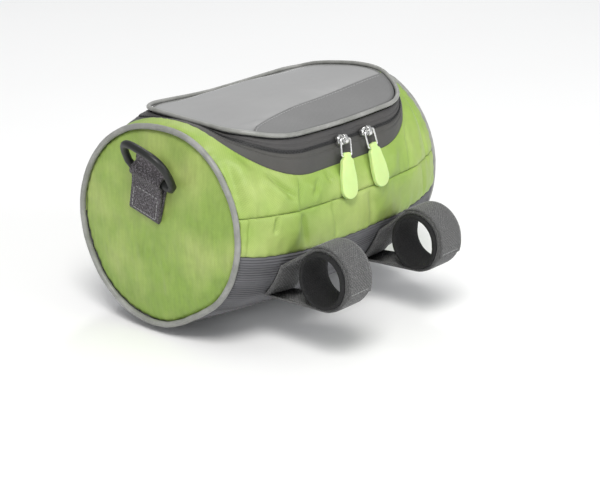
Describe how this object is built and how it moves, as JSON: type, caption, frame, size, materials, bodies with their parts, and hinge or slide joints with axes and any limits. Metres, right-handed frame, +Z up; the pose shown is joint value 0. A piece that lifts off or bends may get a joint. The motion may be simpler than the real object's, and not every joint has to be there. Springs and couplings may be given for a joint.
{
  "type": "bicycle handlebar bag",
  "caption": "Barrel-shaped soft handlebar bag with a zipped lid, a clear window in it, a D-ring tab at each end and hook-and-loop straps round the bar.",
  "frame": {"origin": "on the handlebar's axis, midway between the two strap loops", "axes": "+X along the handlebar to the rider's right, +Y forward, away from the rider, +Z up"},
  "size_m": [0.2698, 0.2296, 0.1617],
  "materials": {
    "green_cloth": "lime green coated polyester",
    "ribbed_cloth": "dark grey ribbed cloth",
    "gusset_cloth": "dark grey coated polyester",
    "lid_cloth": "mid grey woven polyester",
    "window_vinyl": "clear vinyl over a pale pocket",
    "grey_piping": "light grey piping",
    "zip_coil": "black coil zip",
    "strap_loop_cloth": "grey hook-and-loop, loop side",
    "strap_hook_cloth": "black hook-and-loop, hook side",
    "webbing": "dark grey woven webbing",
    "lime_rubber": "pale lime soft rubber",
    "zip_metal": "bright nickel plating",
    "ring_plastic": "black moulded plastic"
  },
  "bodies": {
    "bag": {"upper_panel": "green_cloth", "rider_side_panel": "green_cloth", "base_panel": "ribbed_cloth", "end_panel_left": "green_cloth", "end_panel_right": "green_cloth", "end_piping_left": "grey_piping", "end_piping_right": "grey_piping", "lid_piping": "grey_piping", "gusset_lower": "gusset_cloth", "gusset_upper": "gusset_cloth", "lid_hinge": "gusset_cloth", "zip": "zip_coil", "lid_panel": "lid_cloth", "lid_flap": "lid_cloth", "lid_window": "window_vinyl", "slider_left": "zip_metal", "slider_right": "zip_metal", "tab_webbing_left": "webbing", "tab_webbing_right": "webbing", "strap_inner_left": "strap_hook_cloth", "strap_inner_right": "strap_hook_cloth", "strap_outer_left": "strap_loop_cloth", "strap_outer_right": "strap_loop_cloth"},
    "pull_left": {"pull_wire_left": "zip_metal", "pull_tab_left": "lime_rubber"},
    "pull_right": {"pull_wire_right": "zip_metal", "pull_tab_right": "lime_rubber"},
    "ring_left": {"d_ring_left": "ring_plastic"},
    "ring_right": {"d_ring_right": "ring_plastic"}
  },
  "joints": [
    {"name": "pull_left_swing", "type": "hinge", "parent": "bag", "child": "pull_left", "pos_m": [0.00325, 0.03579, 0.07601], "axis": [-0.9925, 0.0363, 0.1163], "range_deg": [0, 110]},
    {"name": "pull_right_swing", "type": "hinge", "parent": "bag", "child": "pull_right", "pos_m": [0.02975, 0.03569, 0.07623], "axis": [-0.9877, -0.0491, -0.1485], "range_deg": [0, 110]},
    {"name": "ring_left_swing", "type": "hinge", "parent": "bag", "child": "ring_left", "pos_m": [-0.1035, 0.1182, 0.05672], "axis": [0, -0.9659, -0.2588], "range_deg": [-9, 111]},
    {"name": "ring_right_swing", "type": "hinge", "parent": "bag", "child": "ring_right", "pos_m": [0.1315, 0.1182, 0.05672], "axis": [0, 0.9659, 0.2588], "range_deg": [-9, 111]}
  ]
}
